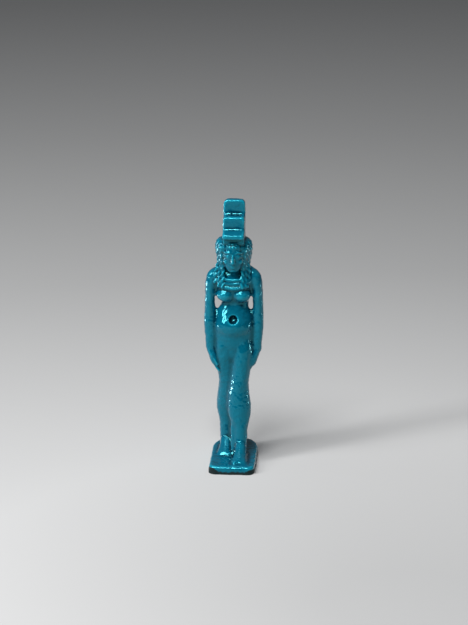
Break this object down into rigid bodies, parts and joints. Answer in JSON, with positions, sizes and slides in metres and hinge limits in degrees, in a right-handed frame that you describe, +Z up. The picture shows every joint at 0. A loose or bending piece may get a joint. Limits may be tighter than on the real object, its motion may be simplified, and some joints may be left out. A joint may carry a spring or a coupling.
{
  "type": "amulet",
  "caption": "Small turquoise-glazed faience amulet of a striding goddess with a throne sign on her head, arms at her sides, on a plinth with a back pillar pierced for a cord",
  "frame": {"origin": "centre of the plinth's flat underside", "axes": "+Z up, from the plinth to the throne sign; the figure faces -Y, and her left side is at +X"},
  "size_m": [0.0102, 0.0156, 0.0462],
  "materials": {
    "turquoise_faience": "glossy, thick and uneven turquoise glaze"
  },
  "bodies": {
    "root": {"isis_amulet": "turquoise_faience"}
  },
  "joints": []
}
